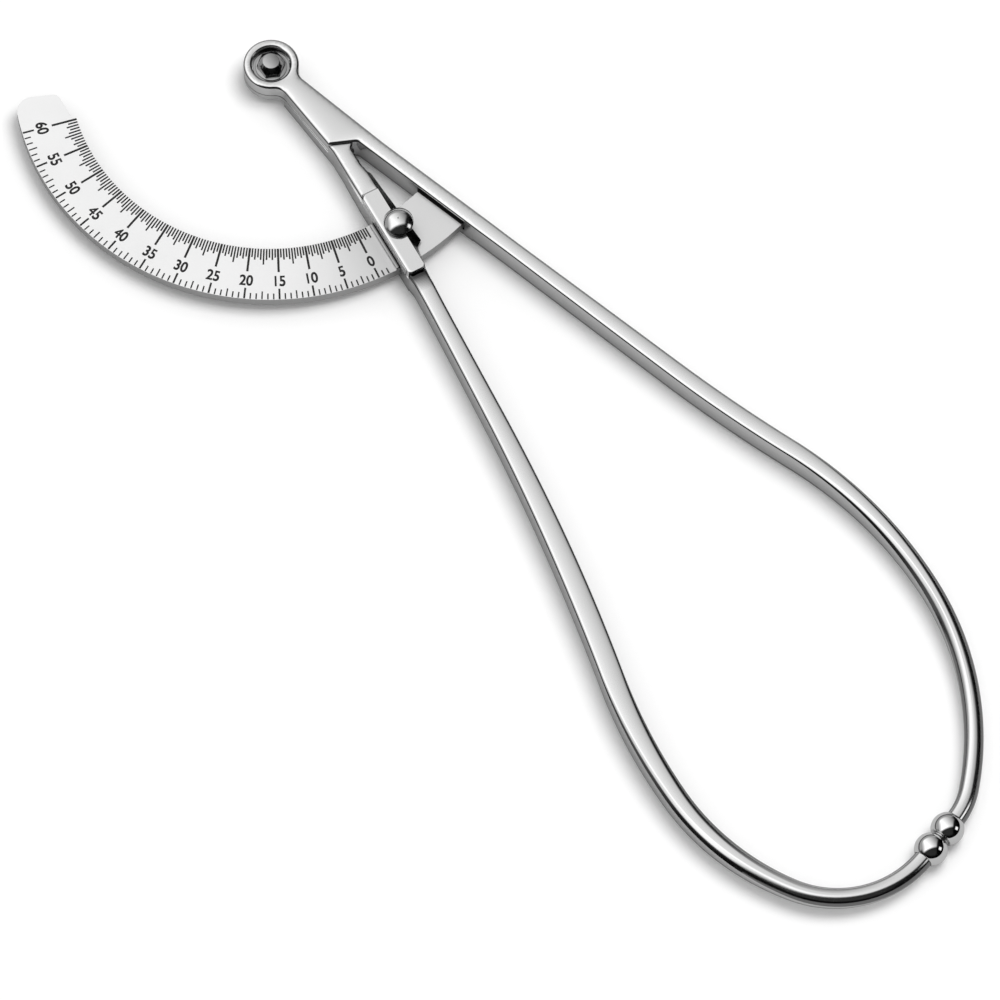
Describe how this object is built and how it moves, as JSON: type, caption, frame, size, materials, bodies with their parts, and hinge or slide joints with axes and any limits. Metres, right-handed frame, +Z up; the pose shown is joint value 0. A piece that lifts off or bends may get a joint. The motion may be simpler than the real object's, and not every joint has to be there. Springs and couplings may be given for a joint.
{
  "type": "pelvimeter",
  "caption": "Hinged measuring instrument: bowed metal arms ending in ball tips, with a graduated arc, a reading bridge and a lock screw.",
  "frame": {"origin": "the hinge axis at the underside of the pivot screw's head, which is the table plane", "axes": "+X from the hinge to the point where the closed tips meet, +Y towards the arm that carries the arc, +Z up from the table"},
  "size_m": [0.3746, 0.1341, 0.015],
  "materials": {
    "arm_steel": "forged stainless steel, mirror polished",
    "ball_steel": "turned stainless steel, mirror polished",
    "scale_steel": "stainless steel sheet, satin, engraved and filled black",
    "bridge_steel": "milled stainless steel, polished",
    "screw_steel": "turned stainless steel",
    "washer_steel": "stamped spring steel",
    "brass": "turned brass"
  },
  "bodies": {
    "arm_a": {"arm_a": "arm_steel", "tip_ball_a": "ball_steel", "tip_button_a": "screw_steel", "scale_arc": "scale_steel", "arc_pins": "screw_steel", "pivot_screw": "screw_steel", "pivot_nut": "screw_steel", "seat_washer": "washer_steel", "spring_washer": "washer_steel", "friction_washer": "brass", "thrust_washer": "washer_steel"},
    "arm_b": {"arm_b": "arm_steel", "tip_ball_b": "ball_steel", "tip_button_b": "screw_steel", "bridge_plate": "bridge_steel", "bridge_screws": "screw_steel", "index_plate": "bridge_steel"},
    "pressure_pad": {"pressure_pad": "brass"},
    "lock_screw": {"lock_screw": "ball_steel"}
  },
  "joints": [
    {"name": "arm_opening", "type": "hinge", "parent": "arm_a", "child": "arm_b", "pos_m": [0, 0, 0.0054], "axis": [0, 0, 1], "range_deg": [-103, 0]},
    {"name": "pad_lift", "type": "slide", "parent": "arm_b", "child": "pressure_pad", "axis": [0, 0, 1], "range_m": [0, 0.0005]},
    {"name": "lock_turn", "type": "hinge", "parent": "pressure_pad", "child": "lock_screw", "pos_m": [0.06837, -0.00303, 0.0114], "axis": [0, 0, 1], "range_deg": [0, 360]}
  ],
  "couplings": [
    {"joint": "lock_turn", "follows": "pad_lift", "rad_per_m": 12566}
  ]
}
